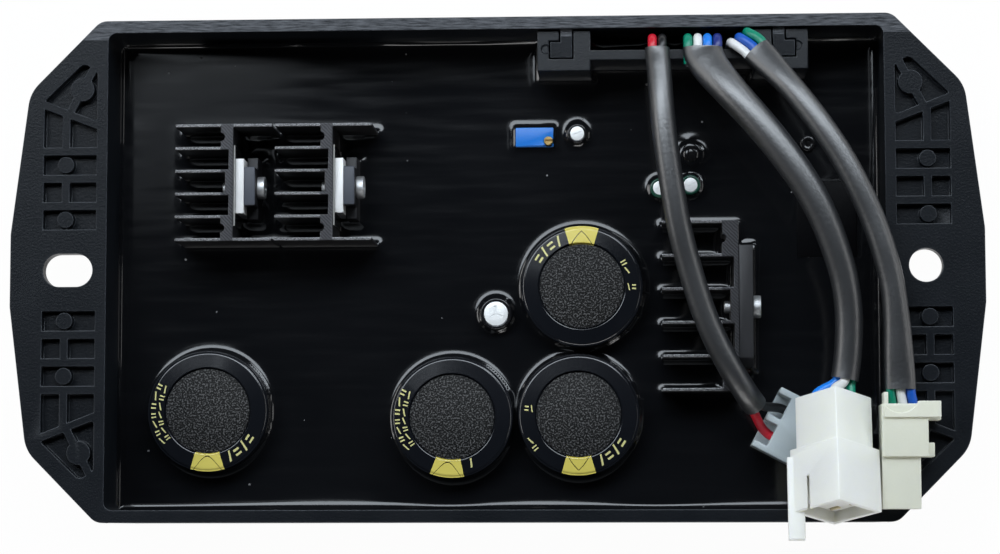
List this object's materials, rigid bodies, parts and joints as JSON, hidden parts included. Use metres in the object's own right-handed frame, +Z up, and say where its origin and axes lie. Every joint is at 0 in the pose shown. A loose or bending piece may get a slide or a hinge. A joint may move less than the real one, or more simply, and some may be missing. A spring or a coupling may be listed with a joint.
{
  "type": "automatic voltage regulator",
  "caption": "Potted generator voltage regulator: an open moulded tray with fixing ears, finned heat sinks, capacitors and a trimmer in black resin, and sleeved cables with plugs.",
  "frame": {"origin": "middle of the tray's underside", "axes": "+X along the tray towards the ear with the round hole, +Y across the tray towards the cable guide, +Z up to the open side"},
  "size_m": [0.2386, 0.1285, 0.06],
  "materials": {
    "housing_plastic": "fine moulded matte",
    "potting": "cast, very glossy",
    "board": "laminate",
    "guide_plastic": "moulded satin",
    "black_anodised": "black anodised extrusion",
    "grey_moulding": "moulded resin",
    "plated_metal": "tinned",
    "insulating_sheet": "translucent sheet",
    "screw_steel": "zinc plated",
    "black_moulding": "moulded resin",
    "can_aluminium": "drawn",
    "black_sleeve": "shrunk film",
    "rough_disc": "rough",
    "green_sleeve": "shrunk film",
    "dipped_resin": "dipped resin",
    "trimmer_blue": "moulded",
    "brass": "turned",
    "cable_sleeve": "woven and soft",
    "wire_red": "extruded",
    "wire_black": "extruded",
    "wire_green": "extruded",
    "wire_white": "extruded",
    "wire_sky_blue": "extruded",
    "wire_navy": "extruded",
    "wire_blue": "extruded",
    "nylon": "natural nylon, milky",
    "terminal_brass": "stamped"
  },
  "bodies": {
    "regulator": {"housing": "housing_plastic", "potting_compound": "potting", "circuit_board": "board", "cable_guide": "guide_plastic", "heat_sink_left": "black_anodised", "heat_sink_middle": "black_anodised", "heat_sink_right": "black_anodised", "transistor_left_case": "grey_moulding", "transistor_left_leadframe": "plated_metal", "insulating_sheet_left": "insulating_sheet", "transistor_middle_case": "grey_moulding", "transistor_middle_leadframe": "plated_metal", "insulating_sheet_middle": "insulating_sheet", "power_screws": "screw_steel", "rectifier_case": "black_moulding", "rectifier_leads": "plated_metal", "capacitor_1_can": "can_aluminium", "capacitor_1_sleeve": "black_sleeve", "capacitor_1_disc": "rough_disc", "capacitor_2_can": "can_aluminium", "capacitor_2_sleeve": "black_sleeve", "capacitor_2_disc": "rough_disc", "capacitor_3_can": "can_aluminium", "capacitor_3_sleeve": "black_sleeve", "capacitor_3_disc": "rough_disc", "capacitor_4_can": "can_aluminium", "capacitor_4_sleeve": "black_sleeve", "capacitor_4_disc": "rough_disc", "filter_capacitor_can": "can_aluminium", "filter_capacitor_sleeve": "black_sleeve", "signal_capacitor_1_can": "can_aluminium", "signal_capacitor_1_sleeve": "black_sleeve", "signal_capacitor_2_can": "can_aluminium", "signal_capacitor_2_sleeve": "green_sleeve", "signal_capacitor_3_can": "can_aluminium", "signal_capacitor_3_sleeve": "green_sleeve", "ring_capacitor": "black_moulding", "dipped_capacitor": "dipped_resin", "film_capacitor": "black_moulding", "trimmer_case": "trimmer_blue", "cable_sleeve_1": "cable_sleeve", "cable_sleeve_2": "cable_sleeve", "cable_sleeve_3": "cable_sleeve", "wire_red": "wire_red", "wire_black": "wire_black", "wire_green": "wire_green", "wire_white": "wire_white", "wire_sky_blue": "wire_sky_blue", "wire_navy": "wire_navy", "wire_ivory": "wire_white", "wire_blue": "wire_blue", "wire_leaf_green": "wire_green", "connector_1_housing": "nylon", "connector_1_terminals": "terminal_brass", "connector_2_housing": "nylon", "connector_2_terminals": "terminal_brass", "connector_3_housing": "nylon", "connector_3_terminals": "terminal_brass"},
    "adjuster": {"trimmer_screw": "brass"}
  },
  "joints": [
    {"name": "trimmer_adjust", "type": "hinge", "parent": "regulator", "child": "adjuster", "pos_m": [0.013, 0.0332, 0.0221], "axis": [0, 0, 1], "continuous": true}
  ]
}
